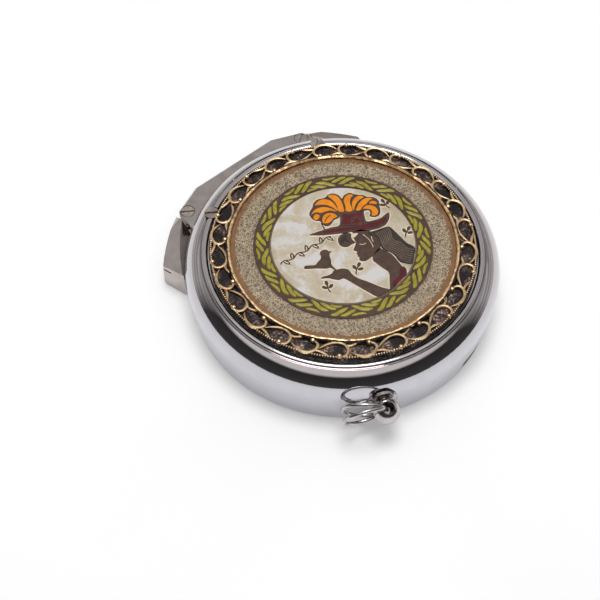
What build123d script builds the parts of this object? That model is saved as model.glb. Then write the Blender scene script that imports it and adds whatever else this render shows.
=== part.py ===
"""Round hinged pill box with an ornamental lid, a barrel hinge and a hanging split ring.

Millimetres.  +Z is up.  The origin is the centre of the round base on the surface it rests on.
The hinge is at the back (+Y).  Angles round the box are measured from +X towards +Y.
"""
import os
from math import cos, radians, sin, sqrt

from build123d import *

# ---- driving dimensions ------------------------------------------------------------------
BOX_R = 25.0                # widest radius of the lid, at the foot of its shoulder
SKIRT_FOOT_R = 24.5         # outer radius of the lid's skirt at its lower edge
SHOULDER_Z = 6.7            # where the skirt turns into the shoulder
SHOULDER_ARC = 4.3          # radius of the shoulder's round
SKIN = 0.7                  # thickness of the pressed lid
SKIRT_FOOT_Z = 0.3          # lower edge of the skirt above the table
LIP_R = 21.65               # rolled lip that holds the ornament
LIP_ARC = 0.5
LIP_TOP_Z = 10.9
SEAT_R = 21.15              # recess for the ornament
SEAT_Z = 10.1
CEILING_Z = 9.4             # underside of the lid's top

ORNAMENT_R = 20.95          # gilt ring: outer wall
BORDER_OUT_R = 18.45        # raised border round the medallion
BORDER_IN_R = 17.6
BORDER_TOP_Z = 11.85
BEAD_LINE_R = 20.55         # milled line near the outer edge
BEAD_LINE_TOP_Z = 11.5
GROUND_Z = 11.15            # sunk ground that the scrolls stand on
MEDALLION_TOP_Z = 11.4
ENAMEL_TOP_Z = 11.5
ENAMEL_SEAT_Z = 11.2
WREATH_OUT_R = 14.0
WREATH_IN_R = 11.45
PICTURE_R = 11.25

BASE_R = 23.3
BASE_THICK = 0.8
PAN_R = 19.9                # inner pan that holds the pills
PAN_TOP_Z = 7.6
PAN_SKIN = 0.4

HINGE_Y = 22.9              # hinge axis, parallel to X
HINGE_Z = 5.0
PIN_R = 0.5
PIN_IN_X = 11.7             # each pin runs from here, inside the bracket...
PIN_OUT_X = 16.4            # ...to here, inside the ear
PIN_FIT = 0.04              # radial running clearance of the pin in the bracket
BAR_END_X = 13.9            # half length of the bracket's bar and of its cover
BAR_BOTTOM_Z = 3.6
BAR_TOP_Z = 5.9
COVER_TOP_Z = 7.1
COVER_BACK_Y = 27.4
COVER_CORNER_X = 8.2
COVER_END_Y = 25.2
EAR_START_X = 14.2
EAR_IN_R = 25.35
EAR_OUT_R = 29.0
EAR_TURN = 24.0             # angle from the back where an ear begins
EAR_END_X = 21.4

COVER_SCREW_X = 12.4
COVER_SCREW_Y = 24.1
RIM_SCREW_X = 11.3
RIM_SCREW_Y = 18.75
SCREW_HEAD_R = 1.15
SCREW_SHANK_R = 0.5

NOTCH_AZ = -74.0            # fingernail notch
NOTCH_HALF = 4.7
NOTCH_HEIGHT = 2.7
CATCH_AZ = -102.0
STUD_AZ = -118.5            # ball stud
STUD_Z = 6.0
BALL_R = 2.05
BALL_CENTRE_R = 27.1
HOLE_TILT = 15.0            # the ball's hole leans outwards by this angle
RING_R = 3.25               # mean radius of the split ring
RING_WIRE_R = 0.31
COIL_TURNS = (3.5, -13.0)   # how far each coil is swung out from the wall's tangent
BIG = 80.0


# ---- helpers -----------------------------------------------------------------------------
def lathe(points):
    """Solid of revolution about Z from a closed (r, z) outline."""
    face = make_face(Polyline(*[(r, 0, z) for r, z in points], close=True))
    return revolve(face, Axis.Z, 360)


def disc(radius, z0, z1):
    return Pos(0, 0, z0) * Cylinder(radius, z1 - z0, align=(Align.CENTER, Align.CENTER, Align.MIN))


def tube(outer, inner, z0, z1):
    return disc(outer, z0, z1) - disc(inner, z0 - 1, z1 + 1)


def post(x, y, radius, z0, z1):
    return Pos(x, y, 0) * disc(radius, z0, z1)


def block(x0, x1, y0, y1, z0, z1):
    return Pos(x0, y0, z0) * Box(x1 - x0, y1 - y0, z1 - z0, align=(Align.MIN, Align.MIN, Align.MIN))


def sector(az0, az1, reach, z0, z1):
    """Wedge about Z between two angles, for cutting and keeping parts of rings."""
    steps = [az0 + (az1 - az0) * i / 6 for i in range(7)]
    rim = [(reach * cos(radians(a)), reach * sin(radians(a)), z0) for a in steps]
    face = make_face(Polyline((0, 0, z0), *rim, close=True))
    return extrude(face, amount=z1 - z0, dir=(0, 0, 1))


def radial(az, r, z):
    """Frame on the wall: local Z points straight out, local X along the wall, local Y up."""
    a = radians(az)
    return Plane(origin=(r * cos(a), r * sin(a), z), x_dir=(-sin(a), cos(a), 0), z_dir=(cos(a), sin(a), 0))


def both(shape):
    """The shape and its mirror image in the YZ plane, as one group of separate solids."""
    return Compound(children=[shape, mirror(shape, about=Plane.YZ)])


def slotted_screw(x, y, head_z, head_h, foot_z):
    """Cheese-head screw with a slot, standing along Z."""
    screw = post(x, y, SCREW_HEAD_R, head_z, head_z + head_h) + post(x, y, SCREW_SHANK_R, foot_z, head_z)
    slot = Pos(x, y, head_z + head_h) * Rot(0, 0, 35) * Box(3, 0.32, 0.7)
    return screw - slot


def save(shape, name):
    export_step(shape, f"parts/{name}.step")


# ---- lid ---------------------------------------------------------------------------------
def lid_shell():
    centre = BOX_R - SHOULDER_ARC
    turn = [radians(a) for a in (33, 66.5)]
    foot = (SKIRT_FOOT_R, 0, SKIRT_FOOT_Z)
    wall_top = (BOX_R, 0, SHOULDER_Z)
    mid, end = [(centre + SHOULDER_ARC * cos(a), 0, SHOULDER_Z + SHOULDER_ARC * sin(a)) for a in turn]
    lip_z = LIP_TOP_Z - LIP_ARC
    groove = (LIP_R + LIP_ARC, 0, lip_z)
    lip_in = (LIP_R - LIP_ARC, 0, lip_z)
    inner_arc = SHOULDER_ARC - SKIN
    rise = CEILING_Z - SHOULDER_Z
    ceiling_r = centre + sqrt(inner_arc ** 2 - rise ** 2)
    skew = inner_arc * sqrt(0.5)
    outline = [
        Line(foot, wall_top),
        ThreePointArc(wall_top, mid, end),
        Line(end, groove),
        ThreePointArc(groove, (LIP_R, 0, LIP_TOP_Z), lip_in),
        Line(lip_in, (SEAT_R, 0, SEAT_Z)),
        Line((SEAT_R, 0, SEAT_Z), (0, 0, SEAT_Z)),
        Line((0, 0, SEAT_Z), (0, 0, CEILING_Z)),
        Line((0, 0, CEILING_Z), (ceiling_r, 0, CEILING_Z)),
        ThreePointArc(
            (ceiling_r, 0, CEILING_Z),
            (centre + inner_arc * cos(radians(24)), 0, SHOULDER_Z + inner_arc * sin(radians(24))),
            (BOX_R - SKIN, 0, SHOULDER_Z),
        ),
        Line((BOX_R - SKIN, 0, SHOULDER_Z), (SKIRT_FOOT_R - SKIN, 0, SKIRT_FOOT_Z)),
        Line((SKIRT_FOOT_R - SKIN, 0, SKIRT_FOOT_Z), foot),
    ]
    shell = revolve(make_face(outline), Axis.Z, 360)
    keeper = tube(SKIRT_FOOT_R - 0.2, SKIRT_FOOT_R - 1.0, 2.1, 2.6)
    shell += keeper & sector(CATCH_AZ - 7, CATCH_AZ + 7, BIG, 1, 5)
    shell -= sector(90 - 52, 90 + 52, BIG, -1, 1.5)
    shell -= sector(90 - 33, 90 + 33, BIG, -1, 3.0)
    shell -= block(-8.5, 8.5, 20, 26, 4.9, BAR_TOP_Z)
    nail = Polyline(
        (-NOTCH_HALF - 0.5, -4), (-NOTCH_HALF, 0), (-NOTCH_HALF + 1.2, NOTCH_HEIGHT),
        (NOTCH_HALF - 1.2, NOTCH_HEIGHT), (NOTCH_HALF, 0), (NOTCH_HALF + 0.5, -4), close=True)
    shell -= extrude(radial(NOTCH_AZ, 20, 0) * make_face(nail), amount=8)
    shell -= extrude(radial(STUD_AZ, 22, STUD_Z) * Circle(0.85), amount=5)
    for side in (-1, 1):
        shell -= post(side * RIM_SCREW_X, RIM_SCREW_Y, SCREW_SHANK_R + 0.1, 8, 12)
        shell -= post(side * RIM_SCREW_X, RIM_SCREW_Y, SCREW_HEAD_R + 0.1, SEAT_Z, 12)
    return shell


def ornament_ring():
    """Gilt ring: raised inner border, sunk ground, milled line and outer wall."""
    ring = lathe([
        (BORDER_IN_R, SEAT_Z), (ORNAMENT_R, SEAT_Z), (ORNAMENT_R, GROUND_Z - 0.1),
        (BEAD_LINE_R + 0.3, GROUND_Z + 0.1), (BEAD_LINE_R + 0.2, BEAD_LINE_TOP_Z),
        (BEAD_LINE_R - 0.15, BEAD_LINE_TOP_Z), (BEAD_LINE_R - 0.25, GROUND_Z),
        (BORDER_OUT_R + 0.1, GROUND_Z), (BORDER_OUT_R - 0.1, BORDER_TOP_Z - 0.15),
        (BORDER_OUT_R - 0.3, BORDER_TOP_Z), (BORDER_IN_R + 0.2, BORDER_TOP_Z),
        (BORDER_IN_R, BORDER_TOP_Z - 0.2),
    ])
    for side in (-1, 1):
        ring -= post(side * RIM_SCREW_X, RIM_SCREW_Y, SCREW_HEAD_R + 0.1, SEAT_Z - 1, 13)
    return ring


def medallion_plate():
    plate = disc(BORDER_IN_R - 0.02, SEAT_Z, MEDALLION_TOP_Z)
    plate -= disc(PICTURE_R, ENAMEL_SEAT_Z, 13)
    return plate - tube(WREATH_OUT_R, WREATH_IN_R, ENAMEL_SEAT_Z, 13)


def lid_liner():
    pan = disc(19.6, CEILING_Z - 0.3, CEILING_Z)
    return pan + tube(19.6, 19.2, CEILING_Z - 0.8, CEILING_Z)


# ---- hinge -------------------------------------------------------------------------------
def cover_outline(margin):
    """Plan of the hinge cover, drawn in by a margin; the front is cut to the wall later."""
    end = BAR_END_X - margin
    back = COVER_BACK_Y - margin
    return Polyline(
        (-end, 15), (-end, COVER_END_Y - 1.0 - margin), (-end + 0.5, COVER_END_Y - margin),
        (-COVER_CORNER_X, back), (COVER_CORNER_X, back),
        (end - 0.5, COVER_END_Y - margin), (end, COVER_END_Y - 1.0 - margin), (end, 15), close=True)


def hinge_bar(margin, z0, z1):
    plan = extrude(make_face(cover_outline(margin)), amount=z1 - z0)
    return Pos(0, 0, z0) * plan - disc(BOX_R + 0.05, z0 - 1, z1 + 1)


def hinge_bracket():
    """Bar outside the wall, web through the window, plate inside, and two feet under the rim."""
    inside = tube(23.6, 23.0, 5.0, 8.6) + tube(23.6, 20.4, 8.1, 8.6)
    inside = inside & sector(90 - 36, 90 + 36, BIG, 4, 9)
    for side in (-1, 1):
        inside += post(side * RIM_SCREW_X, RIM_SCREW_Y, 1.6, 8.1, CEILING_Z)
    inside = inside & disc(23.05, 4, 10) + (inside & disc(23.6, 4, 8.6))
    web = block(-8.2, 8.2, 21.5, 26, 5.0, BAR_TOP_Z - 0.1) - disc(23.2, 4, 7)
    bracket = hinge_bar(0.25, BAR_BOTTOM_Z, BAR_TOP_Z) + web + inside
    bore = pin_bar(PIN_R + PIN_FIT, PIN_IN_X - 0.2, 20)
    bracket -= bore
    bracket -= mirror(bore, about=Plane.YZ)
    for side in (-1, 1):
        bracket -= post(side * RIM_SCREW_X, RIM_SCREW_Y, SCREW_SHANK_R, 7, 10)
        bracket -= post(side * COVER_SCREW_X, COVER_SCREW_Y, SCREW_SHANK_R, 3.9, 7)
    return bracket


def pin_bar(radius, x0, x1):
    rod = Cylinder(radius, x1 - x0, align=(Align.CENTER, Align.CENTER, Align.MIN))
    return Pos(x0, HINGE_Y, HINGE_Z) * Rot(0, 90, 0) * rod


def hinge_cover():
    cover = hinge_bar(0.0, BAR_TOP_Z, COVER_TOP_Z)
    top = cover.faces().sort_by(Axis.Z)[-1]
    back_edges = [e for e in top.edges() if e.center().Y > COVER_END_Y - 2.5 and e.geom_type == GeomType.LINE]
    cover = chamfer(back_edges, 0.35)
    for side in (-1, 1):
        cover -= post(side * COVER_SCREW_X, COVER_SCREW_Y, SCREW_HEAD_R + 0.1, COVER_TOP_Z - 0.7, 9)
        cover -= post(side * COVER_SCREW_X, COVER_SCREW_Y, SCREW_SHANK_R + 0.1, 5, 9)
    return cover


def hinge_ear():
    """Domed lug on the right of the hinge: falls towards its end and towards the wall."""
    body = lathe([
        (EAR_IN_R, 0), (EAR_OUT_R - 0.5, 0), (EAR_OUT_R, 0.5), (EAR_OUT_R - 0.3, 6.2),
        (EAR_OUT_R - 1.4, 7.1), (EAR_IN_R, 5.3)])
    body = body & sector(30, 90 - EAR_TURN, BIG, -1, 10)
    body -= block(0, EAR_START_X, 0, 40, -1, 10)
    fall = Plane(origin=(14.2, 24.5, 6.85), z_dir=(0.3, 0.05, 1))
    body -= extrude(fall * Rectangle(BIG, BIG), amount=20)
    end = Plane(origin=(EAR_END_X, 19.2, 4.1), x_dir=(0.28, 1, 0), z_dir=(1, -0.28, 0))
    body -= extrude(end * Rectangle(BIG, BIG), amount=20)
    for lean, height in ((0.7, 5.6), (1.5, 5.3)):
        edge = Plane(origin=(18.2, 22.6, height), z_dir=(0.62 * lean + 0.3, 0.78 * lean, 1))
        body -= extrude(edge * Rectangle(BIG, BIG), amount=20)
    body -= end * Box(3.0, 0.35, 1.2)
    body -= ear_tongue(0.03)
    body -= pin_bar(PIN_R, 10, PIN_OUT_X)
    return body - ear_screw_hole()


def ear_tongue(gap):
    """Tab of the base plate that lies in a pocket under each ear."""
    tab = tube(27.6 + gap, 22.0, -gap, BASE_THICK + gap)
    return tab & sector(90 - 46 - gap, 90 - 33 + gap, BIG, -1, 2)


def ear_screw_hole():
    a = radians(90 - 39.5)
    return post(26.6 * cos(a), 26.6 * sin(a), 0.7, -1, 3.4)


def ear_screw():
    a = radians(90 - 39.5)
    x, y = 26.6 * cos(a), 26.6 * sin(a)
    return post(x, y, 0.68, 0.02, 3.3)


# ---- base --------------------------------------------------------------------------------
def base_plate():
    plate = disc(BASE_R, 0, BASE_THICK)
    lip = tube(24.35, 22.0, 0, BASE_THICK + 0.2)
    plate += lip & sector(NOTCH_AZ - 9.2, NOTCH_AZ + 9.2, BIG, -1, 3)
    tab = ear_tongue(0.0)
    plate += tab
    plate += mirror(tab, about=Plane.YZ)
    plate -= block(-EAR_START_X, EAR_START_X, 20.5, 30, -1, 3)
    hole = ear_screw_hole()
    return plate - hole - mirror(hole, about=Plane.YZ)


def tray_pan():
    pan = disc(PAN_R, BASE_THICK, PAN_TOP_Z) - disc(PAN_R - PAN_SKIN, BASE_THICK + PAN_SKIN, 20)
    return fillet(pan.edges().group_by(Axis.Z)[-1], 0.15)


def catch_frame(r, z):
    return radial(CATCH_AZ, r, z)


def catch_spring():
    """Leaf on the base whose nose snaps under the keeper inside the skirt."""
    foot = catch_frame(20.2, BASE_THICK + 0.15) * Box(7, 0.3, 2.6, align=(Align.CENTER, Align.CENTER, Align.MIN))
    leaf = catch_frame(22.4, 2.2) * Box(6, 2.8, 0.35, align=(Align.CENTER, Align.CENTER, Align.MIN))
    nose = catch_frame(22.4, 3.25) * Box(4, 0.7, 0.75, align=(Align.CENTER, Align.CENTER, Align.MIN))
    spring = foot + leaf + nose
    for offset in (-2.4, 2.4):
        spring -= rivet_shape(offset)
    return spring


def rivet_shape(offset):
    place = catch_frame(21.2, 0).location * Pos(offset, 0, 0)
    x, y = place.position.X, place.position.Y
    return post(x, y, 0.45, BASE_THICK, BASE_THICK + 0.7)


def catch_rivets():
    heads = []
    for offset in (-2.4, 2.4):
        heads.append(rivet_shape(offset))
    return Compound(children=heads)


# ---- stud and ring -----------------------------------------------------------------------
def along_stud(r0, r1, radius):
    return extrude(radial(STUD_AZ, r0, STUD_Z) * Circle(radius), amount=r1 - r0)


def ball_frame():
    """At the ball's centre: local Z along the hole, local X along the wall to the left."""
    a = radians(STUD_AZ)
    tilt = radians(HOLE_TILT)
    centre = (BALL_CENTRE_R * cos(a), BALL_CENTRE_R * sin(a), STUD_Z)
    hole = (cos(a) * sin(tilt), sin(a) * sin(tilt), cos(tilt))
    return Plane(origin=centre, x_dir=(sin(a), -cos(a), 0), z_dir=hole)


def ball_stud():
    throat = 0.5
    bore = Cylinder(throat, 5)
    for side in (-1, 1):
        bore += Pos(0, 0, side * 1.15) * Rot(90 - 90 * side, 0, 0) * Cone(throat, 1.05, 1.7)
    ball = ball_frame() * (Sphere(BALL_R) - bore)
    return ball + along_stud(23.0, 25.6, 0.8) + along_stud(25.0, 25.45, 2.15)


def split_ring():
    """Two coils that meet in the ball's hole and stand a little apart on the far side."""
    coils = []
    for swing in COIL_TURNS:
        upright = Rot(90, 0, 0) * Torus(RING_R, RING_WIRE_R)
        coils.append(ball_frame() * Rot(0, 0, swing) * Pos(RING_R, 0, 0) * upright)
    return coils[0] + coils[1]


# ---- build -------------------------------------------------------------------------------
def main():
    os.makedirs("parts", exist_ok=True)
    ear = hinge_ear()
    screw = ear_screw()
    save(base_plate(), "base_plate")
    save(tray_pan(), "tray_pan")
    save(ear, "hinge_ear_right")
    save(mirror(ear, about=Plane.YZ), "hinge_ear_left")
    save(both(screw), "ear_screws")
    save(both(pin_bar(PIN_R, PIN_IN_X, PIN_OUT_X)), "hinge_pins")
    save(catch_spring(), "catch_spring")
    save(catch_rivets(), "catch_rivets")
    save(lid_shell(), "lid_shell")
    save(lid_liner(), "lid_liner")
    save(ornament_ring(), "ornament_ring")
    save(medallion_plate(), "medallion_plate")
    save(disc(PICTURE_R - 0.02, ENAMEL_SEAT_Z, ENAMEL_TOP_Z), "picture_enamel")
    save(tube(WREATH_OUT_R - 0.02, WREATH_IN_R + 0.02, ENAMEL_SEAT_Z, ENAMEL_TOP_Z), "wreath_enamel")
    save(hinge_bracket(), "hinge_bracket")
    save(hinge_cover(), "hinge_cover")
    save(both(slotted_screw(COVER_SCREW_X, COVER_SCREW_Y, COVER_TOP_Z - 0.7, 0.65, 3.95)), "cover_screws")
    save(both(slotted_screw(RIM_SCREW_X, RIM_SCREW_Y, SEAT_Z, 0.75, 7.9)), "rim_screws")
    save(ball_stud(), "ball_stud")
    save(along_stud(23.85, 24.1, 1.7) - along_stud(23, 25, 0.82), "stud_washer")
    save(extrude(radial(STUD_AZ, 23.05, STUD_Z) * RegularPolygon(1.5, 6), amount=0.78)
         - along_stud(22.5, 25, 0.82), "stud_nut")
    save(split_ring(), "split_ring")


main()
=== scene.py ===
"""Finishes the round pill box: plated metal, gilt scrolls, enamelled medallion, camera and light.

Work is laid out in millimetres; MM turns it into metres.  Angles go from +X towards +Y.
"""
from math import ceil, cos, hypot, pi, radians, sin

import bmesh
import bpy
from mathutils import Matrix, Vector


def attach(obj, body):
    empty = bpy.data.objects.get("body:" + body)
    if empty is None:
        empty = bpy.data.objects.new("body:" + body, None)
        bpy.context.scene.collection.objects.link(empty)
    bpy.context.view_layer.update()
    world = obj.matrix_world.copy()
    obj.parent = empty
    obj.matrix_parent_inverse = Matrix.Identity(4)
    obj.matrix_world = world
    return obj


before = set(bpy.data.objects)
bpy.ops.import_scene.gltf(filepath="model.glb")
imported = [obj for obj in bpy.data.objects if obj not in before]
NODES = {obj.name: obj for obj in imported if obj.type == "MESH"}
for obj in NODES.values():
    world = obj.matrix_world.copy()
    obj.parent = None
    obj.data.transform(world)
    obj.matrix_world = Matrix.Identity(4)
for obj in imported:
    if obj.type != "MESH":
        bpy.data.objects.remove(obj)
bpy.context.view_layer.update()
MM = 0.001

# ---- the medallion and its frame, mm ------------------------------------------------------
GROUND_Z = 11.15            # sunk ground under the scrolls
SCROLL_LIFT = 0.27          # middle of the scroll wire above that ground
PLATE_Z = 11.4              # medallion plate
ENAMEL_Z = 11.5             # picture and wreath
SCROLL_REPEATS = 14
SCROLL_START = -155.0
BRAID_REPEATS = 12
BRAID_START = -170.4
PICTURE_TURN = -45.0        # the picture stands upright seen from the front left
PICTURE_R = 11.25
LIFT = {                    # height of the picture's layers above its ground
    "stem": 0.04, "shape": 0.05, "plume": 0.06, "cloth": 0.07, "pale": 0.08, "lock": 0.1,
    "blossom": 0.11,
}
FIELD_ROUNDING, FIELD_DOME = 0.04, 0.025    # edge of a patch of enamel
MILLED_R, MILLED_Z = 20.62, 11.43           # milled line outside the scrolls
MILLED_BEADS, MILLED_BEAD_R = 330, 0.18
TRACK_IN_R, TRACK_OUT_R = 14.25, 16.7       # worm-track enamel
NOTCH_AZ = -74.0            # fingernail notch in the lid's skirt


# ---- materials ----------------------------------------------------------------------------
def add(tree, kind, inputs=None, **settings):
    """New node with its settings and inputs; an input may be a value or another node's socket."""
    node = tree.nodes.new(kind)
    for key, value in settings.items():
        setattr(node, key, value)
    for key, value in (inputs or {}).items():
        if isinstance(value, bpy.types.NodeSocket):
            tree.links.new(value, node.inputs[key])
        else:
            node.inputs[key].default_value = value
    return node


def surface(name, **sockets):
    """Material with a Principled shader whose plain values are set on its own sockets."""
    mat = bpy.data.materials.new(name)
    mat.use_nodes = True
    tree = mat.node_tree
    shader = tree.nodes["Principled BSDF"]
    for key, value in sockets.items():
        shader.inputs[key.replace("_", " ")].default_value = value
    return mat, tree, shader


def mm_coords(tree, stretch=(1, 1, 1)):
    """Object coordinates in millimetres, stretched along the axes."""
    coords = add(tree, "ShaderNodeTexCoord").outputs["Object"]
    factor = tuple(s / MM for s in stretch)
    return add(tree, "ShaderNodeMapping", {"Vector": coords, "Scale": factor}).outputs[0]


def noise(tree, vector, scale, detail=3.0, rough=0.5, distortion=0.0):
    return add(tree, "ShaderNodeTexNoise", {
        "Vector": vector, "Scale": scale, "Detail": detail, "Roughness": rough,
        "Distortion": distortion}).outputs["Fac"]


def maths(tree, operation, *values):
    inputs = dict(enumerate(values))
    return add(tree, "ShaderNodeMath", inputs, operation=operation).outputs[0]


def share_between(tree, value, low, high):
    """0 below the low value, 1 above the high one."""
    inputs = {"Value": value, "From Min": low, "From Max": high}
    return add(tree, "ShaderNodeMapRange", inputs).outputs[0]


def tinted(tree, colour, tint):
    inputs = {0: 1.0, 6: colour, 7: tint}
    return add(tree, "ShaderNodeMix", inputs, data_type="RGBA", blend_type="MULTIPLY").outputs[2]


def axis_distance(tree, place):
    """Distance from the box's axis."""
    flat = add(tree, "ShaderNodeVectorMath", {0: place, 1: (1, 1, 0)},
               operation="MULTIPLY").outputs[0]
    return add(tree, "ShaderNodeVectorMath", {0: flat}, operation="LENGTH").outputs["Value"]


def ramp(tree, fac, *stops):
    """Colour ramp through (position, colour) stops."""
    node = add(tree, "ShaderNodeValToRGB", {"Fac": fac})
    for element, (place, colour) in zip(node.color_ramp.elements, stops):
        element.position = place
        element.color = (*colour, 1)
    for place, colour in stops[2:]:
        node.color_ramp.elements.new(place).color = (*colour, 1)
    return node.outputs["Color"]


def grey(value):
    return (value, value, value)


def bump(tree, shader, height, strength, depth_mm):
    inputs = {"Height": height, "Strength": strength, "Distance": depth_mm * MM}
    node = add(tree, "ShaderNodeBump", inputs)
    tree.links.new(node.outputs["Normal"], shader.inputs["Normal"])


def coat_with(tree, shader, colour, rough=None):
    """Runs a colour pattern, and a roughness pattern if given, into the shader."""
    tree.links.new(colour, shader.inputs["Base Color"])
    if rough is not None:
        tree.links.new(rough, shader.inputs["Roughness"])


def plated_metal(name, clean, stained, spread, gloss, scratch=0.15, warm_band=None):
    """Polished plating with soft stains, uneven polish and hairline scratches.

    The last argument gives two heights in mm and a warm tint that the colour is multiplied by
    between them.
    """
    mat, tree, shader = surface(name, Metallic=1.0)
    place = mm_coords(tree)
    stain = noise(tree, place, 0.35, 5.0, 0.6, 0.4)
    colour = ramp(tree, stain, (0.5 - spread, stained), (0.5 + spread, clean))
    # between the two heights the colour is multiplied by the warm tint
    if warm_band:
        low, high, cast = warm_band
        level = add(tree, "ShaderNodeSeparateXYZ", {"Vector": place}).outputs["Z"]
        share = share_between(tree, maths(tree, "MULTIPLY_ADD", stain, 2.0, level), low, high)
        colour = tinted(tree, colour, ramp(tree, share, (0.0, grey(1.0)), (1.0, cast)))
    polish = noise(tree, place, 1.3, 6.0, 0.65)
    rough = ramp(tree, polish, (0.35, grey(gloss[0])), (0.7, grey(gloss[1])))
    coat_with(tree, shader, colour, rough)
    hairlines = noise(tree, mm_coords(tree, (0.5, 7, 3)), 1.6, 2.0, 0.5)
    bump(tree, shader, hairlines, scratch, 0.01)
    return mat


def gilding(name, bright, dull, rough, hammered=0.35):
    """Cast gilt metal with brown left in its hollows."""
    mat, tree, shader = surface(name, Metallic=1.0)
    place = mm_coords(tree)
    rub = noise(tree, place, 1.1, 5.0, 0.6)
    coat_with(tree, shader, ramp(tree, rub, (0.33, dull), (0.58, bright)),
              ramp(tree, rub, (0.3, grey(rough + 0.2)), (0.7, grey(rough))))
    bump(tree, shader, noise(tree, place, 3.5, 4.0, 0.6), hammered, 0.05)
    return mat


def blackened_ground(name):
    """Oxidised hollow with sparks of gilding on its grain."""
    mat, tree, shader = surface(name, Metallic=0.75, Roughness=0.45)
    place = mm_coords(tree)
    grain = noise(tree, place, 2.8, 3.0, 0.7)
    patches = noise(tree, place, 0.5, 2.0, 0.5)
    sparks = maths(tree, "MULTIPLY", grain, patches)
    coat_with(tree, shader, ramp(
        tree, sparks, (0.22, (0.016, 0.012, 0.013)), (0.33, (0.09, 0.065, 0.06)),
        (0.44, (0.60, 0.42, 0.30))))
    bump(tree, shader, grain, 0.9, 0.12)
    return mat


def enamel(name, light, dark, scale=0.5, gloss=0.18):
    """Hard glossy enamel with a slow change of shade and a slightly wavy surface."""
    mat, tree, shader = surface(name, Roughness=gloss, Coat_Weight=0.2, Coat_Roughness=0.15,
                                Specular_IOR_Level=0.3)
    place = mm_coords(tree)
    shade = noise(tree, place, scale, 4.0, 0.6, 0.3)
    coat_with(tree, shader, ramp(tree, shade, (0.35, dark), (0.65, light)))
    bump(tree, shader, noise(tree, place, 1.2, 2.0), 0.25, 0.03)
    return mat


def amber_ring_and_shade_enamel(name, field_tone, rim_tone_and_shade, step_mm, reach_mm):
    """Matt khaki enamel that turns to glassy amber in a ring next to the border; that ring is
    partly the enamel's own amber and partly painted shade cast by the raised border.
    """
    mat, tree, shader = surface(name, Coat_Weight=0.6, Coat_Roughness=0.1, Roughness=0.35)
    place = mm_coords(tree)
    share = share_between(tree, axis_distance(tree, place), step_mm, reach_mm)
    # darker amber towards the border: partly the enamel's tone, partly painted shade of the raised
    # border
    tone = ramp(tree, share, (0.0, field_tone), (0.6, rim_tone_and_shade))
    shade = noise(tree, place, 0.9, 4.0, 0.6, 0.3)
    cast = ramp(tree, shade, (0.3, grey(0.55)), (0.7, grey(1.0)))
    coat_with(tree, shader, tinted(tree, tone, cast))
    bump(tree, shader, noise(tree, place, 3.0, 3.0), 0.4, 0.05)
    return mat


def pearl_enamel(name):
    """Cream enamel with white clouds and fine pearly grain."""
    mat, tree, shader = surface(name, Roughness=0.3, Coat_Weight=0.3, Coat_Roughness=0.1,
                                Sheen_Weight=0.15)
    place = mm_coords(tree)
    clouds = noise(tree, place, 0.16, 3.0, 0.6, 0.8)
    grain = noise(tree, place, 2.2, 3.0, 0.6)
    mixed = maths(tree, "MULTIPLY_ADD", grain, 0.22, clouds)
    coat_with(tree, shader, ramp(
        tree, mixed, (0.44, (0.47, 0.38, 0.25)), (0.60, (0.58, 0.50, 0.37)),
        (0.70, (0.68, 0.65, 0.64))))
    bump(tree, shader, grain, 0.3, 0.02)
    return mat


def turned_steel(name, colour, rough, pitch):
    """Satin steel with fine turning marks round the middle."""
    mat, tree, shader = surface(name, Metallic=1.0)
    place = mm_coords(tree)
    marks = add(tree, "ShaderNodeTexNoise", {
        "W": axis_distance(tree, place), "Scale": pitch, "Detail": 3.0}, noise_dimensions="1D")
    cloud = noise(tree, place, 0.4, 3.0)
    dark = tuple(0.7 * c for c in colour)
    coat_with(tree, shader, ramp(tree, cloud, (0.35, dark), (0.6, colour)),
              ramp(tree, cloud, (0.3, grey(rough + 0.12)), (0.7, grey(rough))))
    bump(tree, shader, marks.outputs["Fac"], 0.3, 0.02)
    return mat


def lining(name):
    """Matt dark lining with a short nap, paler where it is worn."""
    mat, tree, shader = surface(name, Roughness=0.85, Sheen_Weight=0.4)
    nap = noise(tree, mm_coords(tree), 9.0, 3.0, 0.7)
    worn = noise(tree, mm_coords(tree), 0.25, 4.0, 0.6)
    shade = maths(tree, "MULTIPLY_ADD", worn, 0.8, nap)
    coat_with(tree, shader, ramp(
        tree, shade, (0.65, (0.030, 0.028, 0.030)), (1.15, (0.115, 0.105, 0.105))))
    bump(tree, shader, nap, 0.6, 0.05)
    return mat


# chrome whose upper band, shoulder and lip, is tinted warmer
CHROME = plated_metal("polished_chrome", (0.60, 0.60, 0.65), (0.55, 0.54, 0.57), 0.25,
                      (0.04, 0.08), 0.12, (9.2, 10.8, (0.96, 0.90, 0.85)))
WORN_PLATE = plated_metal("worn_nickel", (0.54, 0.495, 0.475), (0.38, 0.32, 0.29), 0.25,
                          (0.14, 0.24), 0.2)
WIRE_STEEL = plated_metal("bright_wire", (0.62, 0.60, 0.60), (0.38, 0.34, 0.33), 0.15,
                          (0.10, 0.22), 0.3)
SCREW_STEEL = plated_metal("tarnished_steel", (0.52, 0.47, 0.43), (0.25, 0.20, 0.17), 0.15,
                           (0.22, 0.40), 0.4)
GILT = gilding("rose_gilding", (1.0, 0.77, 0.48), (0.68, 0.40, 0.19), 0.24)
WORN_GILT = gilding("rubbed_border_gilding", (0.98, 0.66, 0.36), (0.30, 0.15, 0.055), 0.30, 0.9)
BLACKENED = blackened_ground("blackened_ground")
TRAY = turned_steel("satin_tray_steel", (0.62, 0.62, 0.64), 0.26, 6.0)
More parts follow.
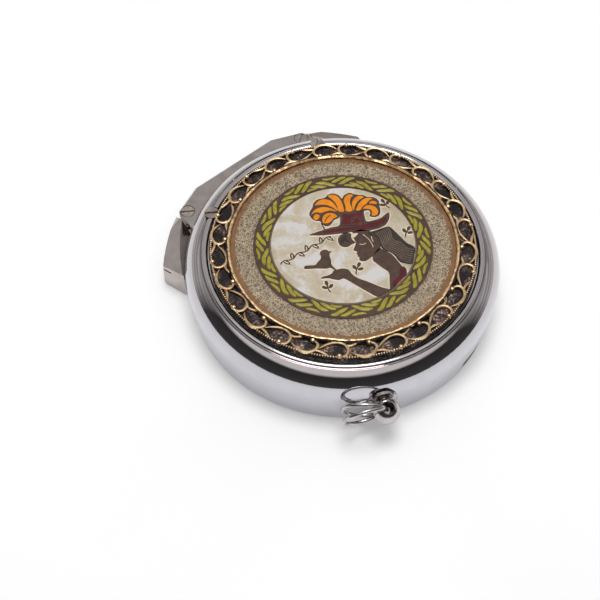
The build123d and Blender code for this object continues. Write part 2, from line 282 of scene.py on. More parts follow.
# near-black steel: painted shade inside the fingernail notch
NOTCH_SHADE_STEEL = plated_metal("painted_notch_shade", (0.060, 0.052, 0.050), (0.025, 0.020, 0.018), 0.2,
                            (0.35, 0.5), 0.3)
SPRING = turned_steel("spring_steel", (0.50, 0.51, 0.55), 0.22, 3.0)
LINING = lining("lid_lining")
LINE_BROWN = enamel("line_brown", (0.090, 0.046, 0.030), (0.058, 0.028, 0.017), 0.8, 0.38)
# medallion plate: khaki field and an amber ring that is partly painted shade of the gilt border
EDGE_AMBER_AND_SHADE = amber_ring_and_shade_enamel("amber_edge_and_painted_shade", (0.23, 0.16, 0.09), (0.27, 0.120, 0.030), 16.4, 16.95)
WORM_KHAKI = enamel("worm_khaki", (0.63, 0.515, 0.37), (0.46, 0.375, 0.26), 0.45, 0.4)
OLIVE = enamel("olive_leaf", (0.42, 0.37, 0.035), (0.29, 0.24, 0.018), 1.1, 0.35)
ORANGE = enamel("orange_plume", (0.93, 0.31, 0.003), (0.77, 0.22, 0.002), 0.6, 0.3)
GARNET = enamel("garnet_felt", (0.125, 0.010, 0.017), (0.075, 0.008, 0.012), 0.8, 0.2)
DARK_HAIR = enamel("dark_hair", (0.045, 0.032, 0.026), (0.018, 0.014, 0.012), 1.0, 0.3)
LOCK_BROWN = enamel("lock_brown", (0.20, 0.14, 0.105), (0.14, 0.095, 0.07), 0.8, 0.3)
ROSE_LINE = enamel("rose_line", (0.20, 0.095, 0.080), (0.12, 0.055, 0.045), 1.0, 0.3)
# lighter cream: the picture's own pale lines, and a painted highlight on the rims round its
# outlines
CREAM_AND_HALO_HIGHLIGHT = enamel("cream_enamel_and_halo_highlight", (0.80, 0.70, 0.54), (0.66, 0.55, 0.38), 1.0, 0.25)
PEARL = pearl_enamel("pearl_cream")


# ---- meshes -------------------------------------------------------------------------------
def smooth_path(points, gap=0.12, closed=False):
    """Catmull-Rom curve through the points, as tuples of the same length, about gap apart."""
    pts = [Vector(p) for p in points]
    count = len(pts)
    path = []
    for i in range(count if closed else count - 1):
        p1 = pts[i]
        p2 = pts[(i + 1) % count]
        p0 = pts[i - 1] if closed or i else p1
        p3 = pts[(i + 2) % count] if closed or i + 2 < count else p2
        steps = max(2, ceil((p2 - p1).length / gap))
        for k in range(steps):
            t = k / steps
            path.append(0.5 * ((2 * p1) + (p2 - p0) * t + (2 * p0 - 5 * p1 + 4 * p2 - p3) * t ** 2
                               + (3 * p1 - p0 - 3 * p2 + p3) * t ** 3))
    if not closed:
        path.append(pts[-1])
    return path


def bead_string(bm, points, widths, z, stretch=1.0, sides=8, closed=False, gap=0.12):
    """Raised line along (x, y) points.

    Its cross-section is an oval whose half width is given for all points or for each.
    """
    if len(widths) == 1:
        widths = widths * len(points)
    path = smooth_path([(*p, w) for p, w in zip(points, widths)], gap, closed)
    rings = []
    for i, (x, y, half) in enumerate(path):
        a = path[i - 1] if closed or i else path[i]
        b = path[(i + 1) % len(path)] if closed or i + 1 < len(path) else path[i]
        along = hypot(b[0] - a[0], b[1] - a[1]) or 1.0
        nx, ny = -(b[1] - a[1]) / along, (b[0] - a[0]) / along
        ring = []
        for k in range(sides):
            turn = 2 * pi * k / sides
            out, up = half * cos(turn), half * stretch * sin(turn)
            ring.append(bm.verts.new(((x + nx * out) * MM, (y + ny * out) * MM, (z + up) * MM)))
        rings.append(ring)
    for i in range(len(rings) if closed else len(rings) - 1):
        near, far = rings[i], rings[(i + 1) % len(rings)]
        for k in range(sides):
            bm.faces.new((near[k], near[(k + 1) % sides], far[(k + 1) % sides], far[k]))
    if not closed:
        bm.faces.new(rings[0][::-1])
        bm.faces.new(rings[-1])


def knob(bm, x, y, z, radius, flat=1.0, rings=6, sides=10):
    """Round bead; flat is its height over its width."""
    levels = []
    for i in range(1, rings):
        tilt = pi * i / rings
        levels.append([bm.verts.new((
            (x + radius * sin(tilt) * cos(2 * pi * k / sides)) * MM,
            (y + radius * sin(tilt) * sin(2 * pi * k / sides)) * MM,
            (z + radius * flat * cos(tilt)) * MM)) for k in range(sides)])
    top = bm.verts.new((x * MM, y * MM, (z + radius * flat) * MM))
    foot = bm.verts.new((x * MM, y * MM, (z - radius * flat) * MM))
    for k in range(sides):
        n = (k + 1) % sides
        bm.faces.new((top, levels[0][k], levels[0][n]))
        bm.faces.new((foot, levels[-1][n], levels[-1][k]))
        for upper, lower in zip(levels, levels[1:]):
            bm.faces.new((upper[k], lower[k], lower[n], upper[n]))


def field(bm, outline, z0, z1):
    """Flat patch of enamel between z0 and z1 with a rounded edge, from an outline of points."""
    path = smooth_path([Vector((*p, 0)) for p in outline], 0.15, closed=True)
    floor = [bm.verts.new((p.x * MM, p.y * MM, z0 * MM)) for p in path]
    face = bm.faces.new(floor)
    face.normal_update()
    if face.normal.z < 0:
        face.normal_flip()
    bottom = face.copy()
    bottom.normal_flip()
    lifted = bmesh.ops.extrude_face_region(bm, geom=[face])
    verts = [v for v in lifted["geom"] if isinstance(v, bmesh.types.BMVert)]
    bmesh.ops.translate(bm, verts=verts, vec=(0, 0, (z1 - z0) * MM))
    top = [f for f in lifted["geom"] if isinstance(f, bmesh.types.BMFace)]
    bmesh.ops.inset_region(bm, faces=top, thickness=FIELD_ROUNDING * MM, depth=FIELD_DOME * MM,
                           use_even_offset=True)
    if face.is_valid:
        bm.faces.remove(face)


def piece(name, bm, material, body, smooth=40.0, turn=0.0):
    """Keeps what was drawn as a piece, turned about the box's axis by so many degrees."""
    if turn:
        matrix = Matrix.Rotation(radians(turn), 3, "Z")
        bmesh.ops.rotate(bm, verts=bm.verts, cent=(0, 0, 0), matrix=matrix)
    bmesh.ops.recalc_face_normals(bm, faces=bm.faces)
    mesh = bpy.data.meshes.new(name)
    bm.to_mesh(mesh)
    bm.free()
    return settle(name, mesh, material, body, smooth)


def settle(name, mesh, material, body, smooth):
    """Object at the origin that rides on a CAD body, sharp above the smooth angle."""
    mesh.materials.clear()
    mesh.materials.append(material)
    mesh.shade_smooth()
    mesh.set_sharp_from_angle(angle=radians(smooth))
    obj = bpy.data.objects.new(name, mesh)
    bpy.context.scene.collection.objects.link(obj)
    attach(obj, body)
    return obj


def polar(az, r):
    return (r * cos(radians(az)), r * sin(radians(az)))


# ---- geometry nodes -----------------------------------------------------------------------
def socket_id(tree, name):
    return next(s.identifier for s in tree.interface.items_tree
                if s.name == name and s.in_out == "INPUT")


def new_tree(name, *inputs):
    tree = bpy.data.node_groups.new(name, "GeometryNodeTree")
    tree.interface.new_socket("Geometry", in_out="INPUT", socket_type="NodeSocketGeometry")
    for label, kind in inputs:
        tree.interface.new_socket(label, in_out="INPUT", socket_type=kind)
    tree.interface.new_socket("Geometry", in_out="OUTPUT", socket_type="NodeSocketGeometry")
    return tree, tree.nodes.new("NodeGroupInput")


def end_tree(tree, geometry, material):
    real = add(tree, "GeometryNodeRealizeInstances", {"Geometry": geometry})
    painted = add(tree, "GeometryNodeSetMaterial", {
        "Geometry": real.outputs[0], "Material": material})
    add(tree, "NodeGroupOutput", {"Geometry": painted.outputs[0]})


def wreath_tree(name, material):
    """Copies its unit round the box's axis."""
    tree, given = new_tree(name, ("Copies", "NodeSocketInt"), ("Start", "NodeSocketFloat"))
    points = add(tree, "GeometryNodePoints", {"Count": given.outputs["Copies"]})
    step = maths(tree, "DIVIDE", 2 * pi, given.outputs["Copies"])
    index = add(tree, "GeometryNodeInputIndex")
    angle = maths(tree, "MULTIPLY_ADD", index.outputs[0], step, given.outputs["Start"])
    turn = add(tree, "ShaderNodeCombineXYZ", {"Z": angle})
    copies = add(tree, "GeometryNodeInstanceOnPoints", {
        "Points": points.outputs[0], "Instance": given.outputs["Geometry"],
        "Rotation": turn.outputs[0]})
    end_tree(tree, copies.outputs[0], material)
    return tree


def worm_tree(name, material):
    """Scatters small curled threads over its ground."""
    tree, given = new_tree(name, ("Spacing", "NodeSocketFloat"), ("Density", "NodeSocketFloat"),
                           ("Thread", "NodeSocketFloat"), ("Seed", "NodeSocketInt"))
    points = add(tree, "GeometryNodeDistributePointsOnFaces", {
        "Mesh": given.outputs["Geometry"], "Distance Min": given.outputs["Spacing"],
        "Density Max": given.outputs["Density"], "Seed": given.outputs["Seed"]},
        distribute_method="POISSON")
    section = add(tree, "GeometryNodeCurvePrimitiveCircle", {
        "Resolution": 3, "Radius": given.outputs["Thread"]})
    kinds = add(tree, "GeometryNodeJoinGeometry")
    for sweep, radius, knots in ((240, 0.16, 7), (130, 0.26, 5), (190, 0.20, 6)):
        arc = add(tree, "GeometryNodeCurveArc", {
            "Resolution": knots, "Radius": radius * MM, "Sweep Angle": radians(sweep)},
            mode="RADIUS")
        worm = add(tree, "GeometryNodeCurveToMesh", {
            "Curve": arc.outputs["Curve"], "Profile Curve": section.outputs["Curve"],
            "Fill Caps": True})
        single = add(tree, "GeometryNodeGeometryToInstance", {"Geometry": worm.outputs[0]})
        tree.links.new(single.outputs[0], kinds.inputs[0])
    turn = add(tree, "FunctionNodeRandomValue", {"Max": (0, 0, 2 * pi), "Seed": 3},
               data_type="FLOAT_VECTOR")
    pick = add(tree, "FunctionNodeRandomValue", {"Min": 0, "Max": 2, "Seed": 5}, data_type="INT")
    worms = add(tree, "GeometryNodeInstanceOnPoints", {
        "Points": points.outputs["Points"], "Instance": kinds.outputs[0], "Pick Instance": True,
        "Rotation": turn.outputs[0], "Instance Index": pick.outputs[2]})
    end_tree(tree, worms.outputs[0], material)
    return tree


def grown(name, bm, tree, values, material, body, smooth=40.0):
    """Runs a tree on a unit mesh and keeps the result as a plain piece."""
    seed_mesh = bpy.data.meshes.new(name + "_unit")
    bmesh.ops.recalc_face_normals(bm, faces=bm.faces)
    bm.to_mesh(seed_mesh)
    bm.free()
    unit = bpy.data.objects.new(name + "_unit", seed_mesh)
    bpy.context.scene.collection.objects.link(unit)
    modifier = unit.modifiers.new("grow", "NODES")
    modifier.node_group = tree
    for label, value in values.items():
        modifier[socket_id(tree, label)] = value
    bpy.context.view_layer.update()
    grown_unit = unit.evaluated_get(bpy.context.evaluated_depsgraph_get())
    mesh = bpy.data.meshes.new_from_object(grown_unit)
    mesh.name = name
    bpy.data.objects.remove(unit)
    return settle(name, mesh, material, body, smooth)


# ---- gilt scrolls -------------------------------------------------------------------------
def scroll_unit():
    """One repeat in (angle, radius) courses: two scrolls, their spurs and their end beads."""
    bm = bmesh.new()
    outward = [(0, 19.7), (2.2, 20.25), (5, 20.62), (7.8, 20.6), (10.2, 20.15), (11.5, 19.5),
               (11.3, 18.95), (10.4, 18.6), (9.4, 18.45)]
    inward = [(12.3, 19.5), (14.2, 18.95), (17, 18.42), (20, 18.22), (22.8, 18.45), (24.5, 19.1),
              (24.7, 19.8), (23.8, 20.35), (22.4, 20.58)]
    upper_spur = [(11.0, 20.0), (13, 20.05), (15, 20.3), (16.9, 20.6)]
    lower_spur = [(22.8, 18.5), (25.5, 18.72), (28.2, 18.38), (30.8, 17.98)]
    swell = [0.07, 0.19, 0.25, 0.27, 0.27, 0.26, 0.25, 0.22, 0.2]
    spur_swell = [0.2, 0.24, 0.21, 0.07]
    middle = GROUND_Z + SCROLL_LIFT
    bead_z = middle + 0.08
    for course in (outward, inward):
        bead_string(bm, [polar(*p) for p in course], swell, middle, 1.35, gap=0.16)
    for course in (upper_spur, lower_spur):
        bead_string(bm, [polar(*p) for p in course], spur_swell, middle - 0.03, 1.3, gap=0.16)
    knob(bm, *polar(8.7, 18.42), bead_z, 0.42, 0.95)
    knob(bm, *polar(21.1, 20.5), bead_z, 0.40, 0.95)
    return bm


def gilt_frame():
    """Scroll work and the milled line outside it, each grown from one unit."""
    grown("scroll_work", scroll_unit(), wreath_tree("scroll_repeat", GILT),
          {"Copies": SCROLL_REPEATS, "Start": radians(SCROLL_START)}, GILT, "lid")
    bm = bmesh.new()
    knob(bm, MILLED_R, 0, MILLED_Z, MILLED_BEAD_R, rings=4, sides=6)
    grown("milled_edge", bm, wreath_tree("bead_repeat", GILT),
          {"Copies": MILLED_BEADS, "Start": 0.0}, GILT, "lid", 60)


def gilt_border():
    """Raised border inside the scrolls, its outer edge uneven where they run into it."""
    bm = bmesh.new()
    steps = 420
    section = ((17.58, 11.3), (17.62, 11.72), (17.78, 11.86), (18.0, 11.86), (18.2, 11.74),
               (18.36, 11.1))
    loops = []
    for k in range(steps):
        az = 360 * k / steps
        phase = radians((az - SCROLL_START) * SCROLL_REPEATS)
        swell = 0.10 * sin(phase + 0.6) + 0.06 * sin(2.3 * phase) + 0.035 * sin(7.1 * phase + 1.0)
        loop = []
        for i, (r, z) in enumerate(section):
            reach = r + swell * (i / (len(section) - 1)) ** 1.5
            loop.append(bm.verts.new((*(MM * c for c in polar(az, reach)), z * MM)))
        loops.append(loop)
    for k in range(steps):
        near, far = loops[k], loops[(k + 1) % steps]
        for i in range(len(section)):
            n = (i + 1) % len(section)
            bm.faces.new((near[i], near[n], far[n], far[i]))
    piece("gilt_border", bm, WORN_GILT, "lid")


# ---- medallion ----------------------------------------------------------------------------
def band(bm, inner, outer, z, sides=180):
    """Flat ring of quads to grow things on."""
    turns = [2 * pi * k / sides for k in range(sides)]
    loops = [[bm.verts.new((r * cos(a) * MM, r * sin(a) * MM, z * MM)) for a in turns]
             for r in (inner, outer)]
    for k in range(sides):
        n = (k + 1) % sides
        bm.faces.new((loops[0][k], loops[1][k], loops[1][n], loops[0][n]))


def worm_track():
    """Ring of curled threads, grown just above the medallion plate."""
    bm = bmesh.new()
    band(bm, TRACK_IN_R, TRACK_OUT_R, PLATE_Z + 0.02)
    values = {"Spacing": 0.24 * MM, "Density": 8.0e7, "Thread": 0.075 * MM, "Seed": 11}
    grown("worm_track", bm, worm_tree("worm_scatter", WORM_KHAKI), values, WORM_KHAKI, "lid",
          60)


def leaf(bm, spine, half, z, height):
    """Domed leaf along a spine of (angle, radius) points."""
    path = smooth_path([Vector((*polar(*p), 0)) for p in spine], 0.2)
    across = (-1, -0.6, 0, 0.6, 1)
    rows = []
    for i, p in enumerate(path):
        a, b = path[max(i - 1, 0)], path[min(i + 1, len(path) - 1)]
        along = (b - a).normalized()
        t = i / (len(path) - 1)
        belly = 3.4 * sin(pi * min(max(t, 0.03), 0.97)) ** 1.3 * 0.42 + 0.15
        width = half * (0.25 + 0.75 * min(1.0, belly))
        rows.append([bm.verts.new((
            (p.x - along.y * width * s) * MM, (p.y + along.x * width * s) * MM,
            (z + height * (1 - s * s) ** 0.5 - 0.02) * MM)) for s in across])
    for near, far in zip(rows, rows[1:]):
        for k in range(len(across) - 1):
            bm.faces.new((near[k], near[k + 1], far[k + 1], far[k]))
        bm.faces.new((near[-1], near[0], far[0], far[-1]))
    bm.faces.new(rows[0][::-1])
    bm.faces.new(rows[-1])


def wreath():
    """Braided leaves: three outer and three inner ones to a repeat."""
    bm = bmesh.new()
    outer = [[(0.2, 13.5), (3.6, 13.25), (7.6, 12.55), (11.4, 12.05)],
             [(6.4, 13.5), (9.6, 13.3), (13.2, 12.8), (16.6, 12.5)],
             [(13.6, 13.48), (17, 13.3), (20, 13.25), (22.8, 13.45)]]
    inner = [[(14.2, 11.75), (18.2, 12.1), (22.8, 12.65), (28.2, 12.85)],
             [(21.2, 11.75), (25.2, 11.95), (29, 12.25), (33.2, 12.4)],
             [(28.6, 11.72), (31.2, 11.85), (34.2, 11.9), (37.4, 11.78)]]
    for group in (outer, inner):
        for spine, half in zip(group, (0.34, 0.32, 0.24)):
            leaf(bm, spine, half, ENAMEL_Z, 0.12)
    grown("wreath_leaves", bm, wreath_tree("braid_repeat", OLIVE),
          {"Copies": BRAID_REPEATS, "Start": radians(BRAID_START)}, OLIVE, "lid")


# ---- the picture: outlines in mm from its middle, drawn upright -----------------------------
PLUMES = [
    [(-0.15, 6.3), (-0.25, 7.2), (-0.7, 8.5), (-1.3, 9.35), (-2.1, 9.7), (-2.9, 9.35),
     (-2.4, 8.85), (-1.7, 8.1), (-1.3, 7.3), (-0.95, 6.25)],
    [(-1.1, 6.35), (-1.45, 7.3), (-2.2, 8.25), (-3.2, 8.65), (-4.2, 8.35), (-4.85, 7.3),
     (-3.9, 7.45), (-2.9, 7.4), (-2.0, 7.0)],
    [(-1.3, 6.2), (-2.1, 6.8), (-3.3, 7.05), (-4.3, 6.75), (-5.0, 6.1), (-5.35, 5.2),
     (-4.95, 5.6), (-4.5, 5.85), (-3.8, 5.75), (-3.2, 6.05), (-2.3, 6.35)],
    [(-4.9, 5.1), (-4.5, 5.5), (-4.0, 5.3), (-4.0, 4.75), (-4.4, 4.3), (-4.85, 4.5)],
    [(-3.5, 4.8), (-3.2, 5.5), (-2.5, 5.9), (-1.7, 5.8), (-1.15, 5.25), (-1.7, 4.8), (-2.1, 4.15),
     (-2.7, 3.75), (-3.4, 3.85)],
    [(0.2, 6.4), (0.0, 7.5), (-0.3, 8.5), (-0.1, 9.4), (0.55, 9.95), (1.15, 9.75), (0.8, 9.0),
     (0.8, 8.0), (1.2, 6.6)],
    [(1.4, 6.6), (1.1, 7.3), (1.05, 8.3), (1.35, 9.1), (1.9, 9.65), (2.5, 9.75), (2.9, 9.45),
     (2.3, 8.95), (1.8, 8.2), (1.55, 7.4)],
    [(1.75, 6.7), (1.85, 7.4), (2.15, 8.2), (2.7, 8.95), (3.4, 9.4), (4.3, 9.35), (3.7, 8.75),
     (3.35, 8.1), (2.85, 7.6), (2.4, 6.75)],
    [(3.75, 8.3), (4.0, 8.7), (4.55, 8.85), (5.05, 8.5), (4.95, 8.2), (4.3, 8.2)],
    [(2.8, 7.1), (3.2, 7.7), (3.8, 7.95), (4.5, 7.8), (5.05, 7.35), (5.3, 6.7), (5.15, 6.05),
     (4.65, 5.75), (4.25, 5.85), (4.3, 6.5), (4.0, 7.0), (3.4, 7.1)],
]
PLUME_MASS = [
    (-3.2, 3.3), (-3.85, 4.1), (-4.4, 4.1), (-5.05, 4.4), (-5.6, 5.3), (-5.5, 6.1), (-5.2, 6.9),
    (-5.1, 7.7), (-4.5, 8.5), (-3.4, 8.95), (-2.9, 9.6), (-2.1, 9.95), (-1.2, 9.65), (-0.6, 9.0),
    (-0.35, 9.6), (0.5, 10.25), (1.3, 10.05), (2.0, 9.95), (2.8, 9.95), (3.4, 9.65), (4.5, 9.6),
    (5.3, 8.9), (5.4, 8.0), (5.6, 7.2), (5.6, 6.3), (5.2, 5.7), (4.5, 5.5), (3.95, 5.7),
    (4.05, 6.3), (3.8, 6.8), (3.1, 6.7), (2.8, 6.5), (1.4, 6.3), (0, 6.1), (-0.9, 5.9), (-0.9, 5.0),
    (-1.6, 4.5), (-2.0, 3.7), (-2.5, 3.2)
]
CROWN = [
    (-0.35, 5.75), (0.6, 5.85), (1.7, 6.1), (2.6, 6.25), (2.9, 5.4), (3.1, 4.5), (2.6, 3.9),
    (1.2, 3.6), (0.2, 3.45), (-0.35, 3.6), (-0.3, 4.7)
]
BRIM = [
    (-3.2, 1.95), (-1.9, 2.6), (-0.3, 3.0), (1.5, 3.35), (3.4, 4.05), (4.6, 4.55), (5.7, 5.0),
    (6.55, 5.65), (6.5, 4.9), (6.0, 4.2), (4.9, 3.5), (3.0, 2.95), (1.0, 2.65), (-1.0, 2.2),
    (-2.4, 1.85)
]
HAT_EDGE = [
    (-5.4, 1.25), (-4.2, 1.95), (-3.2, 2.45), (-2.0, 3.0), (-0.8, 3.5), (-0.7, 4.8), (-0.75, 5.95),
    (0.6, 6.2), (2.0, 6.5), (2.85, 6.65), (3.15, 5.7), (3.5, 4.65), (4.6, 4.9), (5.7, 5.45),
    (6.9, 6.65), (7.1, 5.7), (6.8, 4.6), (6.2, 3.8), (5.0, 3.1), (3.0, 2.55), (1.0, 2.25),
    (-1.0, 1.75), (-3.4, 1.3)
]
TRESSES = [
    (3.7, 2.3), (4.9, 2.85), (6.2, 3.5), (7.1, 3.75), (8.0, 2.9), (9.0, 1.75), (9.9, 0.75),
    (11.15, -0.1), (11.05, -1.6), (10.75, -3.2), (9.7, -3.2), (8.8, -2.9), (8.2, -2.0), (7.4, -1.3),
    (6.4, -0.95), (5.8, -0.1), (5.6, 0.9), (5.0, 1.5), (4.2, 1.8)
]
NECK = [
    (4.7, -2.9), (5.3, -3.55), (6.2, -4.3), (7.2, -5.15), (7.35, -6.6), (7.55, -8.3), (8.5, -7.3),
    (9.5, -5.9), (9.9, -5.2), (9.3, -3.9), (8.6, -2.9), (7.6, -1.6), (6.4, -0.9), (5.6, -0.6),
    (4.9, -1.6)
]
BODICE = [
    (9.0, -4.1), (9.45, -3.85), (9.85, -4.3), (9.95, -5.1), (9.45, -6.0), (8.6, -7.15),
    (7.95, -7.75), (7.85, -6.7), (8.4, -6.1), (8.85, -5.3)
]
ARM = [
    (-1.15, -5.3), (-0.6, -5.05), (0.0, -4.85), (0.6, -4.85), (1.15, -5.1), (1.7, -5.85),
    (2.6, -6.5), (4.2, -7.1), (6.0, -7.85), (7.5, -8.35), (6.6, -9.1), (5.6, -9.7), (4.2, -9.0),
    (2.2, -7.75), (0.5, -6.75), (-0.3, -7.05), (-1.1, -7.0), (-2.0, -6.85), (-3.05, -7.0),
    (-2.9, -6.65), (-2.1, -6.3), (-1.5, -5.9)
]
BIRD = [
    (-5.65, -4.75), (-4.9, -4.6), (-4.1, -4.45), (-3.75, -3.9), (-3.35, -3.3), (-3.3, -2.8),
    (-3.5, -2.3), (-3.4, -1.8), (-2.95, -1.45), (-2.45, -1.45), (-2.1, -1.7), (-1.65, -1.55),
    (-1.95, -2.1), (-1.95, -2.6), (-1.7, -3.4), (-1.6, -4.1), (-1.3, -4.6), (-0.9, -5.0),
    (-1.15, -5.15), (-1.75, -4.85), (-2.4, -5.05), (-4.0, -5.15), (-5.6, -5.35)
]
FOREHEAD_ROLL = [
    (-0.85, 0.5), (-0.75, 1.2), (-0.3, 1.75), (0.5, 2.05), (1.15, 1.95), (1.2, 1.3), (1.5, 0.7),
    (1.9, 0.3), (1.3, -0.2), (0.8, -0.65), (0.1, -0.75), (-0.5, -0.4)
]
ROLL_SHADOW = [
    (-0.4, 0.0), (-0.45, 0.8), (-0.1, 1.45), (0.5, 1.65), (0.5, 1.0), (0.75, 0.6), (1.3, 0.3),
    (0.7, 0.25), (0.2, 0.35), (-0.05, 0.0)
]


def generic_face():
    """Calm profile and lowered eyelid on textbook thirds, drawn upright, then bowed."""
    upright = [
        (0.0, 2.9), (-0.25, 1.9), (-0.2, 1.15), (-0.05, 0.85), (-0.45, 0.1), (-0.85, -0.65),
        (-0.45, -0.95), (-0.4, -1.2), (-0.6, -1.45), (-0.4, -1.65), (-0.55, -1.9), (-0.3, -2.15),
        (-0.4, -2.55), (-0.15, -2.95), (0.5, -3.05), (1.4, -2.6), (2.4, -1.9), (3.3, -1.2),
        (3.6, 0.4), (3.0, 2.0), (1.6, 3.0)
    ]
    eyelid = [(0.35, 0.35), (0.65, 0.16), (1.0, 0.13), (1.35, 0.3)]
    head_x, head_y = 2.3, -0.4
    tilt = radians(16)
    return [[(head_x + x * cos(tilt) - y * sin(tilt), head_y + x * sin(tilt) + y * cos(tilt))
             for x, y in part] for part in (upright, eyelid)]


def in_picture(bm):
    """Cuts what reaches over the picture's rim back to it."""
    limit = (PICTURE_R - 0.02) * MM
    for v in bm.verts:
        reach = hypot(v.co.x, v.co.y)
        if reach > limit:
            v.co.x *= limit / reach
            v.co.y *= limit / reach


def picture_fields(name, outlines, lift, material):
    """Patches of enamel with these outlines, so far above the picture's ground."""
    bm = bmesh.new()
    for outline in outlines:
        field(bm, outline, ENAMEL_Z - 0.05, ENAMEL_Z + lift)
    in_picture(bm)
    return piece(name, bm, material, "lid", smooth=20.0, turn=PICTURE_TURN)


def picture_lines(name, lines, half, lift, material, stretch=1.0, closed=False):
    """Lines of one half width, so far above the picture's ground."""
    bm = bmesh.new()
    for line in lines:
        bead_string(bm, line, [half], ENAMEL_Z + lift, stretch, 6, closed, 0.16)
    in_picture(bm)
    return piece(name, bm, material, "lid", turn=PICTURE_TURN)


def wave(start, end, swing, turns, count=12):
    """Wavy lock of hair between two points."""
    a, b = Vector(start), Vector(end)
    side = Vector((-(b - a).y, (b - a).x)).normalized()
    steps = [i / (count - 1) for i in range(count)]
    sag = 0.8
    return [tuple(a.lerp(b, t) + side * swing * sin(2 * pi * turns * t) - side * sag * sin(pi * t))
            for t in steps]


def blossom(cx, cy, radius, petals):
    """Small open flower drawn as loops."""
    loops = []
    for k in range(petals):
        a = 2 * pi * k / petals
        x, y = cx + radius * cos(a), cy + radius * sin(a)
        loops.append([(x + 0.28 * radius * cos(b), y + 0.42 * radius * sin(b)) for b in
                      [2 * pi * j / 6 for j in range(6)]])
    return loops


def sprig(cx, cy, size, lean):
    """Tiny twig with a leaf at its tip and one at each side: its stem, then its leaf outlines."""
    turn = radians(lean)

    def at(x, y):
        return (cx + size * (x * cos(turn) - y * sin(turn)),
                cy + size * (x * sin(turn) + y * cos(turn)))

    leaves = []
    for x, y, swing in ((0.0, 0.85, 90), (-0.52, 0.1, 140), (0.52, 0.1, 40)):
        a = radians(swing)
        leaves.append([at(x + 0.5 * cos(b) * cos(a) - 0.3 * sin(b) * sin(a),
                          y + 0.5 * cos(b) * sin(a) + 0.3 * sin(b) * cos(a))
                       for b in [2 * pi * j / 8 for j in range(8)]])
    return [at(0.1, -1.0), at(-0.05, -0.4), at(0.0, 0.4)], leaves


def climbing_vine(start, end, leaves):
    """Wavy stem with small leaf strokes on alternate sides."""
    a, b = Vector(start), Vector(end)
    along = (b - a).normalized()
    side = Vector((-along.y, along.x))
    waves, swing, parts = 3.5, 0.22, 28
    steps = [k / parts for k in range(parts + 1)]
    strokes = [[tuple(a.lerp(b, t) + side * swing * sin(2 * pi * waves * t)) for t in steps]]
    for k in range(leaves):
        root = a.lerp(b, (k + 0.5) / leaves)
        lean = side if k % 2 else -side
        tip = root + lean * 0.8 + along * 0.5
        strokes.append([tuple(root), tuple(root + lean * 0.45 + along * 0.15), tuple(tip)])
        strokes.append([tuple(tip), tuple(root + lean * 0.35 + along * 0.6),
                        tuple(root + along * 0.35)])
    return strokes


def medallion():
    """Worm track, wreath, and the picture from its pale rims, their light tone a painted highlight,
    up to its finest lines.
    """
    worm_track()
    wreath()
    face, eyelid = generic_face()
    silhouettes = [face, NECK, ARM, BIRD, FOREHEAD_ROLL, PLUME_MASS, HAT_EDGE]
    vine = climbing_vine((-9.4, -4.7), (-2.0, 1.2), 7)
    sprigs = [(-1.9, -8.5, 20), (2.4, -4.7, -15), (6.4, 8.3, 35), (9.9, 2.9, -20)]
    twigs, buds = [], []
    for x, y, lean in sprigs:
        twig, leaves = sprig(x, y, 0.95, lean)
        twigs.append(twig)
        buds += leaves
    stem = [[(-3.6, 3.7), (-3.3, 3.1), (-3.0, 2.5)]]
    stalks = vine + stem + twigs
    # cream rims round outlines and stems: raised enamel meniscus whose lighter tone is a painted
    # highlight of the lines' bevel
    picture_lines("enamel_highlight_halos", silhouettes, 0.2, 0, CREAM_AND_HALO_HIGHLIGHT, 0.3, closed=True)
    picture_lines("vine_highlight_halos", stalks, 0.24, 0, CREAM_AND_HALO_HIGHLIGHT, 0.3)
    picture_lines("bud_highlight_halos", buds, 0.2, 0, CREAM_AND_HALO_HIGHLIGHT, 0.3, closed=True)
    picture_fields("brown_shapes", silhouettes, LIFT["shape"], LINE_BROWN)
    picture_lines("brown_vine", stalks, 0.13, LIFT["stem"], LINE_BROWN, 0.8)
    picture_fields("brown_buds", buds, LIFT["shape"], LINE_BROWN)
    picture_fields("orange_plumes", PLUMES, LIFT["plume"], ORANGE)
    veins = [[(-3.05, 3.95), (-2.85, 4.7), (-2.35, 5.4)], [(0.95, 9.3), (0.8, 8.6), (0.82, 7.9)]]
    picture_lines("plume_veins", veins, 0.08, LIFT["pale"], LINE_BROWN, 0.7)
    picture_fields("garnet_fields", [CROWN, BRIM, BODICE], LIFT["cloth"], GARNET)
    picture_fields("dark_tresses", [TRESSES, ROLL_SHADOW], LIFT["cloth"], DARK_HAIR)
    locks = [wave((5.0 + 0.29 * k, 2.3 + 0.2 * k), (10.55 + 0.075 * k, -3.05 + 0.42 * k), 0.22, 2.0)
             for k in range(7)]
    picture_lines("hair_locks", locks, 0.105, LIFT["lock"], LOCK_BROWN, 0.6)
    flower = blossom(2.0, 4.5, 0.75, 7)
    picture_lines("hat_blossom", flower, 0.06, LIFT["blossom"], ROSE_LINE, 0.8, closed=True)
    hat_band = [(-0.3, 3.5), (0.9, 3.6), (2.2, 3.85), (3.2, 4.3)]
    picture_lines("hat_band", [hat_band], 0.09, LIFT["lock"], ROSE_LINE)
    temple_locks = [[(3.0, 1.95), (3.9, 1.1), (4.5, 0.1), (4.7, -0.5)],
                    [(4.35, 1.6), (4.45, 1.1), (4.7, 0.6)]]
    picture_lines("pale_lines", temple_locks + [eyelid], 0.07, LIFT["pale"], CREAM_AND_HALO_HIGHLIGHT, 0.6)
    under_brim = [(1.25, 1.2), (1.3, 1.9), (2.2, 2.1), (2.0, 1.6), (1.7, 1.25)]
    picture_fields("pale_patch", [under_brim], LIFT["pale"], CREAM_AND_HALO_HIGHLIGHT)


